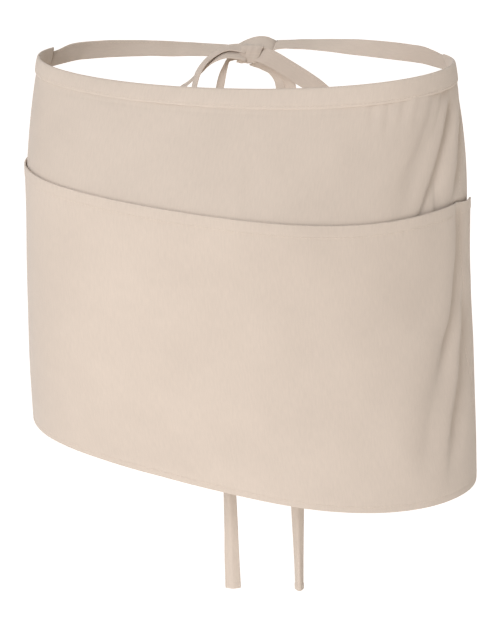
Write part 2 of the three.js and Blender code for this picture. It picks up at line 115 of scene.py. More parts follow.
# Routes of the bow's loops, measured from the knot's middle
LOOP_LEFT = [
    (-8, -2.5, 4.4, -30, 0, 0.85), (-14, -2.6, 5, -28, 0, 0.8), (-20.5, -3, 4.9, -24, 0, 0.7),
    (-26.5, -3.8, 3, -22, 0, 0.6), (-32, -5.4, -0.1, -20, 0, 0.6), (-37.6, -7.8, -4.6, -20, 0, 0.65),
    (-42, -9.5, -10.4, -22, 0, 0.75), (-44.8, -9.2, -16, -24, 0, 0.8), (-46.4, -8.8, -22, -26, 0, 0.8),
    (-47.8, -8, -28.5, -26, 0, 0.85), (-50, -6, -38, -16, 0, 0.9), (-53, -3, -49, -2, 0, 1),
    (-59, 0, -56, 6, 0, 1), (-66, 2, -54, 6, 0, 1), (-68, 4, -45, 8, 0, 1),
    (-64.5, 5, -35.5, 10, 0, 0.9), (-59.3, 5.5, -28.4, 10, 0, 0.8), (-54, 5.5, -24.6, 10, 0, 0.75),
    (-48.5, 4.4, -19.6, 12, 0, 0.75), (-42, 1.8, -12.6, 16, 0, 0.8), (-36, -2.6, -6.6, 16, 0, 0.85),
    (-29.5, -5.4, -2.2, 16, 0, 0.9), (-22.5, -6.2, 0.4, 20, 0, 0.9), (-14, -5.4, 0.6, 34, 0, 0.95),
    (-8, -3.6, 0, 44, 0, 1),
]
LOOP_RIGHT = [
    (0, -3.5, 0.8, 60, 0, 0.85), (6.4, -4.5, -0.4, 68, 0, 1), (14, -5, -3.7, 76, 0, 1),
    (23, -5, -9, 78, 0, 1), (33.4, -4.5, -15.5, 78, 0, 1), (41, -4, -20.4, 76, 0, 1),
    (49, -3, -26.4, 72, 0, 1), (58, -2, -35.5, 56, 0, 1), (64, -1, -48, 26, 0, 1), (63, 0, -60, 12, 0, 1),
    (55, 1, -65, 8, 0, 1), (46, 2, -60, 14, 0, 1), (38, 2.5, -50, 26, 0, 1), (31.5, 3, -39, 36, 0, 1),
    (27.2, 3, -29.5, 44, 0, 0.95), (25, 3, -21.5, 52, 0, 0.95), (21.4, 3, -15.4, 58, 0, 1),
    (16.4, 2.8, -11.2, 60, 0, 1), (10.4, 2.2, -7.4, 60, 0, 1), (3, 1, -4.6, 56, 0, 1),
    (-4, 0.5, -3, 50, 0, 0.9),
]

# The ties by their distance from the knot: height of the middle line, and how far the tape's upper
# edge leans back, in degrees
TIE_LEFT_LINE = [(0, -12, 60), (10, -11.4, 55), (26, -9.8, 50), (40, -8.7, 44), (52, -8.0, 34),
                 (68, -6.9, 30), (100, -5.7, 12), (140, -5.1, 0)]
TIE_RIGHT_LINE = [(0, -6.4, 58), (10, -5.4, 64), (22, -4.5, 70), (36, -4.1, 58), (52, -4.1, 42),
                  (80, -4.7, 22), (110, -5.1, 0)]

# Where each tie goes on inside the knot, from the knot's middle, and its lean in degrees
TIE_LEFT_INSIDE = [(-9, 3.5, 0.6, 60), (-4, 3, 1, 60)]
TIE_RIGHT_INSIDE = [(12, 2.6, 6.8, 54), (8.5, 1.9, 8.3, 53), (4, 1.2, 9.2, 54), (-1, 1.2, 8.9, 56),
                    (-7, 2, 6.9, 58), (-13, 3, 3.5, 60), (-16, 3.5, 0, 60)]

# Plan sections of the worn cloth, as in the part
SECTIONS = {
    "waist": dict(width=1, depth=1, squareness=2.1, turn=0.7, side=0, forward=0, slide=0.02),
    "edge": dict(width=1.071, depth=1.234, squareness=2, turn=16, side=0.03, forward=0.15, slide=-0.02),
    "hem": dict(width=1.111, depth=1.153, squareness=2.1, turn=-6, side=0.04, forward=0, slide=0.06),
}
FALL_STEPS = 120

# Folds of the cloth. A path is places given as shares of the half width and of the height. width is
# the groove's half width in millimetres and depth how far it goes in. Its far side is wider by
# FAR_SIDE. The cloth swells by swell, over a half width of spread, on the near side of the groove.
FAR_SIDE = 2.4
FADE_IN = 0.2
FADE_OUT = 0.65
PANEL_FOLDS = [
    dict(path=[(0.815, 0.05), (0.793, 0.11), (0.781, 0.145), (0.762, 0.185), (0.748, 0.216), (0.731, 0.246),
               (0.707, 0.285), (0.66, 0.34)], width=3.8, depth=3.8, swell=1.2, spread=9),
    dict(path=[(0.759, 0.22), (0.759, 0.27), (0.768, 0.36)], width=3.0, depth=1.2, swell=0.1, spread=6),
    dict(path=[(0.78, 0), (0.75, 0.08), (0.70, 0.16), (0.65, 0.24), (0.58, 0.36)],
         width=14, depth=2.2, swell=0.6, spread=20),
    dict(path=[(0.93, 0.07), (0.90, 0.13), (0.886, 0.18), (0.885, 0.22), (0.872, 0.26), (0.842, 0.32)],
         width=3.2, depth=3.0, swell=1.0, spread=7),
    dict(path=[(0.675, 0), (0.672, 0.092), (0.637, 0.17), (0.57, 0.26)],
         width=5, depth=1.1, swell=0.4, spread=9),
    dict(path=[(0.435, 0), (0.435, 0.06), (0.44, 0.11)], width=2.6, depth=0.35, swell=0.15, spread=4),
    dict(path=[(0.49, 0), (0.492, 0.07), (0.50, 0.14)], width=3, depth=0.5, swell=0.2, spread=4),
    dict(path=[(0.545, 0), (0.545, 0.07), (0.54, 0.12)], width=2.6, depth=0.5, swell=0.2, spread=4),
    dict(path=[(0.61, 0), (0.606, 0.07), (0.595, 0.13)], width=3, depth=0.5, swell=0.2, spread=4),
    dict(path=[(0.74, 0), (0.728, 0.08), (0.70, 0.16)], width=3, depth=0.7, swell=0.2, spread=4),
    dict(path=[(0.072, 0.15), (0.081, 0.269), (0.09, 0.36)], width=2.8, depth=0.3, swell=0.1, spread=6),
    dict(path=[(-0.63, 0.04), (-0.62, 0.18), (-0.62, 0.32)], width=5, depth=0.5, swell=0.2, spread=8),
]
POCKET_FOLDS = [
    dict(path=[(0.87, 0.26), (0.878, 0.32), (0.882, 0.37), (0.875, 0.42), (0.856, 0.472), (0.832, 0.531),
               (0.799, 0.584), (0.756, 0.636), (0.716, 0.692), (0.68, 0.75)],
         width=4.6, depth=4.2, swell=1.4, spread=12),
    dict(path=[(0.79, 0.56), (0.75, 0.64), (0.69, 0.73), (0.63, 0.84), (0.58, 0.96)],
         width=9, depth=1.8, swell=1.2, spread=16),
    dict(path=[(0.92, 0.49), (0.915, 0.55), (0.898, 0.61), (0.870, 0.66), (0.843, 0.718), (0.803, 0.775),
               (0.769, 0.823), (0.738, 0.88), (0.703, 0.94), (0.68, 0.99)],
         width=5.5, depth=5.0, swell=1.0, spread=9),
    dict(path=[(-0.66, 0.72), (-0.624, 0.75), (-0.536, 0.80), (-0.466, 0.846), (-0.38, 0.89)],
         width=7, depth=0.8, swell=0.5, spread=10),
    dict(path=[(-0.56, 0.32), (-0.536, 0.335), (-0.47, 0.364), (-0.40, 0.42)],
         width=5, depth=0.5, swell=0.3, spread=8),
    dict(path=[(-0.18, 0.60), (-0.05, 0.692), (0.04, 0.76)], width=9, depth=0.5, swell=0.3, spread=12),
]

# How far below its mouth the pocket still follows the panel's swells, and still eases off it
CARRY_REACH = 34
MOUTH_REACH = 60


def smooth(value, low, high):
    share = np.clip((np.asarray(value, float) - low) / (high - low), 0, 1)
    return share * share * (3 - 2 * share)


def mix(a, b, share):
    return a * (1 - share) + b * share


def normalized(vectors):
    return vectors / np.maximum(np.linalg.norm(vectors, axis=-1, keepdims=True), 1e-9)


# The worn cloth's surface

def section_at(drop):
    upper = min(drop / POCKET_DROP, 1)
    lower = max((drop - POCKET_DROP) / (APRON_HEIGHT - POCKET_DROP), 0)
    to_edge = upper * (5 - upper) / 4
    to_hem = lower ** 1.5
    waist, edge, hem = SECTIONS["waist"], SECTIONS["edge"], SECTIONS["hem"]
    return {key: mix(mix(waist[key], edge[key], to_edge), hem[key], to_hem) for key in waist}


def outline_at(drop):
    """The section at a drop: x, y and the distance across the cloth, from the cloth's middle."""
    row = section_at(drop)
    turn = math.radians(row["turn"])
    angle = np.radians(np.arange(-180, 181, 1.0)) - turn
    power = 2 / row["squareness"]
    across = row["width"] * WAIST_WIDTH / 2 * np.sign(np.sin(angle)) * np.abs(np.sin(angle)) ** power
    along = -row["depth"] * WAIST_DEPTH / 2 * np.sign(np.cos(angle)) * np.abs(np.cos(angle)) ** power
    x = across * math.cos(turn) - along * math.sin(turn) + row["side"] * WAIST_WIDTH / 2
    y = across * math.sin(turn) + along * math.cos(turn) - row["forward"] * WAIST_DEPTH / 2
    distance = np.concatenate([[0], np.cumsum(np.hypot(np.diff(x), np.diff(y)))])
    front = [i for i in range(1, len(x)) if y[i] < 0 and x[i - 1] < 0 <= x[i]][0]
    share = -x[front - 1] / (x[front] - x[front - 1])
    middle = mix(distance[front - 1], distance[front], share)
    return x, y, distance - middle - row["slide"] * HALF_WIDTH


FALL_DROPS = np.linspace(0, APRON_HEIGHT, FALL_STEPS + 1)
FALL = [outline_at(drop) for drop in FALL_DROPS]


def hang(distance):
    """Columns of hanging cloth at distances across it, as rows, columns and x, y, z."""
    distance = np.asarray(distance, float)
    x = np.array([np.interp(distance, d, px) for px, py, d in FALL])
    y = np.array([np.interp(distance, d, py) for px, py, d in FALL])
    drop = FALL_DROPS[:, None]
    across = np.sin(np.pi / 2 * distance / HALF_WIDTH)
    upper = np.minimum(drop / POCKET_DROP, 1)
    lower = np.maximum((drop - POCKET_DROP) / (APRON_HEIGHT - POCKET_DROP), 0)
    length = drop + across * (EDGE_SLANT * upper + (HEM_SLANT - EDGE_SLANT) * lower)
    step = np.diff(length, axis=0)
    run = np.minimum(np.hypot(np.diff(x, axis=0), np.diff(y, axis=0)), MOST_RUN * step)
    forward = np.maximum(-y[0] / (WAIST_DEPTH / 2), 0)
    top = -FRONT_DIP * forward ** DIP_POWER - SIDE_TILT * across
    z = np.vstack([top, top - np.cumsum(np.sqrt(step ** 2 - run ** 2), axis=0)])
    return np.stack([x, y, z], -1)


def cloth_grid(distance, drops):
    """Places and outward directions of the worn cloth at distances across it and drops down it."""
    columns = hang(distance)
    step = np.clip(np.asarray(drops, float) / APRON_HEIGHT * FALL_STEPS, 0, FALL_STEPS)
    low = np.minimum(step.astype(int), FALL_STEPS - 1)
    place = mix(columns[low], columns[low + 1], (step - low)[:, None, None])
    sideways = np.gradient(place, axis=1)
    down = np.gradient(place, axis=0)
    return place, normalized(np.cross(down, sideways))


def path_distance(points, distance, drops):
    """Signed distance from a path on the flat cloth, positive towards +X, and the share along it."""
    grid_x, grid_y = np.meshgrid(distance, drops)
    path = np.array([(a * HALF_WIDTH, d * APRON_HEIGHT) for a, d in points])
    legs = np.linalg.norm(np.diff(path, axis=0), axis=1)
    starts = np.concatenate([[0], np.cumsum(legs)])
    nearest = np.full(grid_x.shape, 1e9)
    side = np.zeros(grid_x.shape)
    share = np.zeros(grid_x.shape)
    for k, leg in enumerate(legs):
        (ax, ay), (bx, by) = path[k], path[k + 1]
        dx, dy = (bx - ax) / leg, (by - ay) / leg
        t = np.clip((grid_x - ax) * dx + (grid_y - ay) * dy, 0, leg)
        px, py = grid_x - ax - t * dx, grid_y - ay - t * dy
        gap = np.hypot(px, py)
        closer = gap < nearest
        nearest = np.where(closer, gap, nearest)
        side = np.where(closer, np.sign(px * dy - py * dx), side)
        share = np.where(closer, (starts[k] + t) / starts[-1], share)
    return nearest * side, share


def fold_relief(distance, drops, folds):
    """How far folds move the cloth out, in millimetres, over a grid of the flat cloth."""
    relief = np.zeros((len(drops), len(distance)))
    for fold in folds:
        gap, share = path_distance(fold["path"], distance, drops)
        ends = smooth(share, 0, FADE_IN) * (1 - smooth(share, FADE_OUT, 1))
        width, spread = fold["width"], fold["spread"]
        groove = -fold["depth"] * np.exp(-(gap / np.where(gap > 0, FAR_SIDE * width, width)) ** 2)
        swell = fold["swell"] * np.exp(-((gap + width + spread) / spread) ** 2)
        relief += ends * (groove + swell)
    return relief


def slack(distance, drops):
    """The cloth's slight unevenness, a sum of slow waves across and down it."""
    x, y = np.meshgrid(distance, drops)
    waves = 0.16 * np.sin(x / 23 + 0.8 * np.sin(y / 61)) * np.sin(y / 47 + 1.3)
    waves += 0.10 * np.sin(x / 11.5 + y / 39 + 2.1) + 0.07 * np.sin(x / 7.3 - y / 17 + 0.4)
    return waves


def panel_relief(distance, drops):
    relief = fold_relief(distance, drops, PANEL_FOLDS) + slack(distance, drops)
    drop = np.asarray(drops)[:, None]
    return relief - 0.1 * np.exp(-((drop - BAND_HEIGHT - 4) / 1.4) ** 2)


def pocket_relief(distance, drops):
    """The pocket lies over the panel's swells at its mouth, and bridges the panel's grooves."""
    at_edge = panel_relief(distance, [POCKET_DROP - 1])
    carried = np.maximum(at_edge, 0) * (1 - smooth(drops, POCKET_DROP, POCKET_DROP + CARRY_REACH))[:, None]
    return carried + fold_relief(distance, drops, POCKET_FOLDS) + slack(distance, drops)


def seam_dip(depth, gap):
    """The shallow dip that a row of stitches pulls into the cloth, at a gap from the row."""
    return -depth * np.exp(-(np.asarray(gap) / SEAM_HALF_WIDTH) ** 2)


# Meshes

def new_object(name, vertices, faces, uv):
    mesh = bpy.data.meshes.new(name)
    mesh.from_pydata([tuple(v) for v in np.asarray(vertices, float) * MM], [], faces)
    mesh.update()
    layer = mesh.uv_layers.new(name="cloth")
    corners = np.zeros(len(mesh.loops), dtype=np.int32)
    mesh.loops.foreach_get("vertex_index", corners)
    layer.data.foreach_set("uv", (np.asarray(uv, float)[corners] * MM).ravel())
    mesh.polygons.foreach_set("use_smooth", [True] * len(mesh.polygons))
    obj = bpy.data.objects.new(name, mesh)
    bpy.context.scene.collection.objects.link(obj)
    return obj


def slab_parts(outer, direction, thickness, flat):
    """A closed sheet: the grid of its outer face, and its inner face one thickness behind it.
    flat holds each grid point's place on the flat cloth."""
    rows, columns = outer.shape[:2]
    thickness = np.broadcast_to(thickness, (rows, columns))[..., None]
    inner = outer - direction * thickness
    count = rows * columns
    index = np.arange(count).reshape(rows, columns)
    a, b, d, e = index[:-1, :-1], index[:-1, 1:], index[1:, :-1], index[1:, 1:]
    front = np.stack([a, d, e, b], -1).reshape(-1, 4)
    back = np.stack([a, b, e, d], -1).reshape(-1, 4) + count
    border = np.concatenate([index[0, :], index[1:, -1], index[-1, -2::-1], index[-2:0:-1, 0]])
    r, c = np.divmod(border, columns)
    inward = outer[np.clip(r, 1, rows - 2), np.clip(c, 1, columns - 2)]
    away = normalized(outer[r, c] - inward)
    flat_outer, flat_inner = outer.reshape(-1, 3), inner.reshape(-1, 3)
    rim = (flat_outer[border] + flat_inner[border]) / 2 + away * np.mean(thickness) * 0.35
    m = 2 * count + np.arange(len(border))
    n = np.roll(m, -1)
    nearby = np.roll(border, -1)
    outside = np.stack([border, nearby, n, m], -1)
    inside = np.stack([m, n, nearby + count, border + count], -1)
    places = flat.reshape(-1, 2)
    vertices = np.vstack([flat_outer, flat_inner, rim])
    uv = np.vstack([places, places, places[border]])
    return vertices, np.vstack([front, back, outside, inside]).tolist(), uv


def slab(name, outer, direction, thickness, flat):
    return new_object(name, *slab_parts(outer, direction, thickness, flat))


def flat_grid(distance, drops):
    across, down = np.meshgrid(distance, drops)
    return np.stack([across, down], -1)


def spline(points, samples):
    """A smooth centripetal curve through points, at even steps of its parameter."""
    points = np.asarray(points, float)
    ends = [2 * points[0] - points[1], 2 * points[-1] - points[-2]]
    padded = np.vstack([ends[0], points, ends[1]])
    result = []
    for t in np.linspace(0, len(points) - 1, samples):
        k = min(int(t), len(points) - 2)
        p0, p1, p2, p3 = padded[k:k + 4]
        legs = ((p0, p1), (p1, p2), (p2, p3))
        steps = [max(np.linalg.norm((b - a)[:3]) ** 0.5, 1e-6) for a, b in legs]
        first = (p1 - p0) / steps[0] - (p2 - p0) / (steps[0] + steps[1]) + (p2 - p1) / steps[1]
        second = (p2 - p1) / steps[1] - (p3 - p1) / (steps[1] + steps[2]) + (p3 - p2) / steps[2]
        first, second = first * steps[1], second * steps[1]
        u = t - k
        result.append((2 * u ** 3 - 3 * u ** 2 + 1) * p1 + (u ** 3 - 2 * u ** 2 + u) * first
                      + (3 * u ** 2 - 2 * u ** 3) * p2 + (u ** 3 - u ** 2) * second)
    return np.array(result)


TAPE_COLUMNS = 14


def tape_parts(middles, across, widths, fold=0.0):
    """A woven tape along its middles, with the direction of its width and the width at each. fold
    is the angle of a lengthwise crease, whose two halves turn back."""
    middles = np.asarray(middles, float)
    count = len(middles)
    travel = normalized(np.gradient(middles, axis=0))
    across = normalized(np.asarray(across, float))
    face = normalized(np.cross(travel, across))
    side = np.linspace(-1, 1, TAPE_COLUMNS + 1)[None, :]
    half = np.broadcast_to(widths, (count,))[:, None] / 2
    angle = np.radians(np.broadcast_to(fold, (count,)))[:, None]
    run = np.concatenate([[0], np.cumsum(np.linalg.norm(np.diff(middles, axis=0), axis=1))])
    arm = np.sqrt(side ** 2 + 0.012) - 0.11
    swell = 0.16 * smooth(np.abs(side), 0.72, 0.9) * (1 - smooth(np.abs(side), 0.94, 1))
    wave = 0.18 * np.sin(run[:, None] / 9 + 2.2 * side) + 0.10 * np.sin(run[:, None] / 3.7 - 1.4 * side)
    bow = -np.sin(angle) * arm * half + swell + wave
    reach = side * half * np.cos(angle)
    lift = (bow + TAPE / 2)[..., None]
    outer = middles[:, None] + across[:, None] * reach[..., None] + face[:, None] * lift
    flat = np.stack(np.broadcast_arrays(side * TIE_WIDTH / 2, run[:, None]), -1)
    normals = np.cross(np.gradient(outer, axis=0), np.gradient(outer, axis=1))
    normals = normalized(normals) * np.sign(np.sum(normals * face[:, None], axis=-1, keepdims=True))
    end_hem = 1 + 0.5 * smooth(run, run[-1] - 5.5, run[-1] - 4.5)[:, None]
    vertices, faces, uv = slab_parts(outer, normals, TAPE * end_hem, flat)
    seam = int(round(0.86 * TAPE_COLUMNS))
    return (vertices, faces, uv), run[-1], (outer[:, seam], normals[:, seam])


def route_frames(route, offset, samples):
    """Middles, width directions, widths and lengthwise folds along a route."""
    points = spline(route, samples)
    middles = points[:, :3] + offset
    roll = np.radians(points[:, 3])[:, None]
    travel = normalized(np.gradient(middles, axis=0))
    edge = normalized(np.array([0.0, 1.0, 0.0]) - travel * travel[:, 1:2])
    across = edge * np.cos(roll) + np.cross(travel, edge) * np.sin(roll)
    return middles, across, TIE_WIDTH * points[:, 5], points[:, 4]


def stitch_parts(place, out):
    """A row of stitches along a line on the cloth, each a short round thread that dips in at its ends."""
    run = np.concatenate([[0], np.cumsum(np.linalg.norm(np.diff(place, axis=0), axis=1))])
    count = int((run[-1] - STITCH_STEP) / STITCH_STEP)
    starts = (run[-1] - count * STITCH_STEP) / 2 + (STITCH_STEP - STITCH) / 2 + STITCH_STEP * np.arange(count)
    along = np.array([0, 0.16, 0.5, 0.84, 1])
    girth = np.array([0.35, 0.9, 1, 0.9, 0.35]) * THREAD
    rise = np.array([-0.14, 0.05, 0.1, 0.05, -0.14])
    where = (starts[:, None] + along[None, :] * STITCH).ravel()
    centre = np.stack([np.interp(where, run, place[:, k]) for k in range(3)], -1)
    upward = normalized(np.stack([np.interp(where, run, out[:, k]) for k in range(3)], -1))
    travel = normalized(np.gradient(place, axis=0))
    forward = normalized(np.stack([np.interp(where, run, travel[:, k]) for k in range(3)], -1))
    sideways = normalized(np.cross(forward, upward))
    centre = centre + upward * np.tile(rise, count)[:, None]
    sides = 6
    turn = np.arange(sides) / sides * 2 * np.pi
    thick = np.tile(girth, count)[:, None, None]
    ring = centre[:, None] + thick * (sideways[:, None] * np.cos(turn)[None, :, None]
                                      + upward[:, None] * np.sin(turn)[None, :, None])
    faces = []
    for k in range(count):
        first = k * len(along) * sides
        for i in range(len(along) - 1):
            for j in range(sides):
                a = first + i * sides + j
                b = first + i * sides + (j + 1) % sides
                faces.append([a, b, b + sides, a + sides])
        last = first + (len(along) - 1) * sides
        faces.append([first + j for j in range(sides)][::-1])
        faces.append([last + j for j in range(sides)])
    uv = np.stack(np.broadcast_arrays(where[:, None], turn[None, :] * THREAD), -1)
    return ring.reshape(-1, 3), faces, uv.reshape(-1, 2)


def joined(parts):
    vertices, faces, uv, base = [], [], [], 0
    for part_vertices, part_faces, part_uv in parts:
        vertices.append(part_vertices)
        faces += [[base + i for i in face] for face in part_faces]
        uv.append(part_uv)
        base += len(part_vertices)
    return np.vstack(vertices), faces, np.vstack(uv)


# Camera

def make_camera():
    turn, lift = math.radians(CAMERA_TURN), math.radians(CAMERA_LIFT)
    back = Vector((math.sin(turn) * math.cos(lift), -math.cos(turn) * math.cos(lift), math.sin(lift)))
    target = Vector((TARGET_SIDE * math.cos(turn), TARGET_SIDE * math.sin(turn), TARGET_HEIGHT)) * MM
    data = bpy.data.cameras.new("camera")
    data.sensor_fit = "VERTICAL"
    data.sensor_height = CAMERA_SENSOR
    data.lens = CAMERA_FOCUS * CAMERA_SENSOR / FRAME_HEIGHT
    data.clip_end = 20
    camera = bpy.data.objects.new("camera", data)
    camera.location = target + back * CAMERA_DISTANCE * MM
    camera.rotation_euler = back.to_track_quat("Z", "Y").to_euler()
    bpy.context.scene.collection.objects.link(camera)
    bpy.context.scene.camera = camera


make_camera()


# Materials: the brightest and darkest shares of a cloth's colour, and how strong its wrinkles look
LIGHT_SHARE = 1.03
DARK_SHARE = 0.965
WRINKLE = 0.25


def node(tree, kind, **values):
    made = tree.nodes.new(kind)
    for key, value in values.items():
        if key in made.inputs:
            made.inputs[key].default_value = value
        else:
            setattr(made, key, value)
    return made


def cotton(name, colour, thread=0.55, nap=0.35):
    """Woven cotton: threads both ways, slubs, a little unevenness of tone, and soft sheen."""
    material = bpy.data.materials.new(name)
    material.use_nodes = True
    tree = material.node_tree
    tree.nodes.clear()
    link = tree.links.new
    output = node(tree, "ShaderNodeOutputMaterial")
    shader = node(tree, "ShaderNodeBsdfPrincipled", Roughness=0.92)
    shader.inputs["Sheen Weight"].default_value = 0.25
    shader.inputs["Sheen Roughness"].default_value = 0.5
    shader.inputs["Specular IOR Level"].default_value = 0.2
    link(shader.outputs["BSDF"], output.inputs["Surface"])
    place = node(tree, "ShaderNodeUVMap", uv_map="cloth")
    waves = []
    for direction in ("X", "Y"):
        wave = node(tree, "ShaderNodeTexWave", wave_type="BANDS", bands_direction=direction,
                    wave_profile="SIN")
        wave.inputs["Scale"].default_value = math.pi / (10 * thread * MM)
        wave.inputs["Distortion"].default_value = 0.6
        wave.inputs["Detail"].default_value = 1.0
        wave.inputs["Detail Scale"].default_value = 0.2
        link(place.outputs["UV"], wave.inputs["Vector"])
        waves.append(wave)
    weave = node(tree, "ShaderNodeMath", operation="MULTIPLY")
    link(waves[0].outputs["Fac"], weave.inputs[0])
    link(waves[1].outputs["Fac"], weave.inputs[1])
    slub = node(tree, "ShaderNodeTexNoise", Scale=220.0, Detail=3.0, Roughness=0.6)
    stretched = node(tree, "ShaderNodeMapping")
    stretched.inputs["Scale"].default_value = (4.0, 0.6, 1)
    link(place.outputs["UV"], stretched.inputs["Vector"])
    link(stretched.outputs["Vector"], slub.inputs["Vector"])
    tone = node(tree, "ShaderNodeTexNoise", Scale=16.0, Detail=4.0, Roughness=0.55)
    link(place.outputs["UV"], tone.inputs["Vector"])
    ramp = node(tree, "ShaderNodeValToRGB")
    ramp.color_ramp.elements[0].position = 0.3
    ramp.color_ramp.elements[1].position = 0.7
    light = tuple(min(c * LIGHT_SHARE, 1) for c in colour)
    dark = tuple(c * DARK_SHARE for c in colour)
    ramp.color_ramp.elements[0].color = (*dark, 1)
    ramp.color_ramp.elements[1].color = (*light, 1)
    link(tone.outputs["Fac"], ramp.inputs["Fac"])
    threads = node(tree, "ShaderNodeMapRange")
    threads.inputs["To Min"].default_value = 0.93
    threads.inputs["To Max"].default_value = 1.03
    link(weave.outputs["Value"], threads.inputs["Value"])
    slubs = node(tree, "ShaderNodeMapRange")
    slubs.inputs["From Min"].default_value = 0.35
    slubs.inputs["From Max"].default_value = 0.65
    slubs.inputs["To Min"].default_value = 0.975
    slubs.inputs["To Max"].default_value = 1.02
    link(slub.outputs["Fac"], slubs.inputs["Value"])
    both = node(tree, "ShaderNodeMath", operation="MULTIPLY")
    link(threads.outputs["Result"], both.inputs[0])
    link(slubs.outputs["Result"], both.inputs[1])
    shade = node(tree, "ShaderNodeVectorMath", operation="SCALE")
    link(ramp.outputs["Color"], shade.inputs[0])
    link(both.outputs["Value"], shade.inputs["Scale"])
    link(shade.outputs["Vector"], shader.inputs["Base Color"])
    crumple = node(tree, "ShaderNodeTexNoise", Scale=28.0, Detail=3.0, Roughness=0.5)
    link(place.outputs["UV"], crumple.inputs["Vector"])
    fine = node(tree, "ShaderNodeBump", Strength=nap)
    fine.inputs["Distance"].default_value = 0.12 * MM
    link(weave.outputs["Value"], fine.inputs["Height"])
    broad = node(tree, "ShaderNodeBump", Strength=WRINKLE)
    broad.inputs["Distance"].default_value = 1.2 * MM
    link(crumple.outputs["Fac"], broad.inputs["Height"])
    link(broad.outputs["Normal"], fine.inputs["Normal"])
    link(fine.outputs["Normal"], shader.inputs["Normal"])
    return material


# Base colours, linear
CREAM = (0.640, 0.540, 0.450)

panel_cotton = cotton("panel_cotton", CREAM)
pocket_cotton = cotton("pocket_cotton", CREAM)
band_cotton = cotton("band_cotton", tuple(1.03 * c for c in CREAM), thread=0.5)
tie_cotton = cotton("tie_cotton", CREAM, thread=0.5, nap=0.5)
thread_cotton = cotton("thread_cotton", tuple(1.12 * c for c in CREAM), thread=0.2)


def finish_piece(piece, material, slot, *nodes):
    piece.data.materials.append(material)
    if nodes:
        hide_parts(*nodes)
    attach(piece, "root")
    return piece


def make_stitches(name, slot, lines):
    piece = new_object(name, *joined([stitch_parts(place, out) for place, out in lines]))
    return finish_piece(piece, thread_cotton, slot)


# Free ends

END_SAMPLES = 260


def make_end(side, route, cad_name):
    middles, across, widths, fold = route_frames(route, np.zeros(3), END_SAMPLES)
    parts, length, seam = tape_parts(middles, across, widths, fold=fold)
    piece = finish_piece(new_object("tail_" + side, *parts), tie_cotton, "tie_tape", cad_name)
    first = END_SAMPLES // 8
    stitches = make_stitches("tail_stitches_" + side, "tie_tape", [(seam[0][first:-4], seam[1][first:-4])])


make_end("left", END_LEFT, "tie_end_left")
make_end("right", END_RIGHT, "tie_end_right")


# Cloth of the panel, the pocket and the waistband

def steps(*stretches):
    """Places along stretches, each given as its start, its end and about how far apart they are."""
    places = [np.linspace(a, b, max(int(round((b - a) / pitch)), 1) + 1)[:-1] for a, b, pitch in stretches]
    return np.concatenate(places + [[stretches[-1][1]]])


# Places across the cloth, closer together over the folds and at the seams of the side hems
HEM_SEAM = HALF_WIDTH - SIDE_HEM
ACROSS = steps((-HALF_WIDTH, -HEM_SEAM - 2, 2), (-HEM_SEAM - 2, -HEM_SEAM + 2, 0.8), (-HEM_SEAM + 2, 95, 2.6),
               (95, HEM_SEAM - 2, 1.15), (HEM_SEAM - 2, HEM_SEAM + 2, 0.8), (HEM_SEAM + 2, HALF_WIDTH, 1.6))
POCKET_SAG = 3.6


def pocket_drops(drops, distance):
    """The pocket's mouth hangs a little lower towards its right end."""
    sag = POCKET_SAG * smooth(distance / HALF_WIDTH, 0.84, 0.98)[None, :]
    fade = 1 - smooth(drops, POCKET_DROP, POCKET_DROP + MOUTH_REACH)
    return np.asarray(drops)[:, None] + sag * fade[:, None]


def side_seams(distance):
    gap = np.abs(np.abs(distance) - HEM_SEAM)
    return seam_dip(0.25, gap)[None, :]


def line_across(surface, out, row):
    return surface[row][3:-3], out[row][3:-3]


def line_down(surface, out, column, first, last):
    return surface[first:last, column], out[first:last, column]


def nearest(values, value):
    return int(np.argmin(np.abs(np.asarray(values) - value)))


def hem_columns():
    return nearest(ACROSS, -HEM_SEAM), nearest(ACROSS, HEM_SEAM)


def make_panel():
    drops = steps((2, 14, 2), (14, 24, 0.9), (24, POCKET_DROP + 3, 1.25),
                  (POCKET_DROP + 3, APRON_HEIGHT - 2, 3.4))
    place, out = cloth_grid(ACROSS, drops)
    relief = panel_relief(ACROSS, drops) + side_seams(ACROSS)
    behind = smooth(drops, POCKET_DROP - 3, POCKET_DROP + 1)[:, None]
    relief = mix(relief, np.minimum(relief, pocket_relief(ACROSS, drops)), behind)
    surface = place + out * relief[..., None]
    piece = slab("cloth_panel", surface, out, CANVAS, flat_grid(ACROSS, drops))
    finish_piece(piece, panel_cotton, "panel_cotton", "apron_panel")
    top, bottom = nearest(drops, BAND_HEIGHT + 1), nearest(drops, POCKET_DROP - 1)
    lines = [line_down(surface, out, c, top, bottom) for c in hem_columns()]
    stitches = make_stitches("panel_stitches", "panel_cotton", lines)


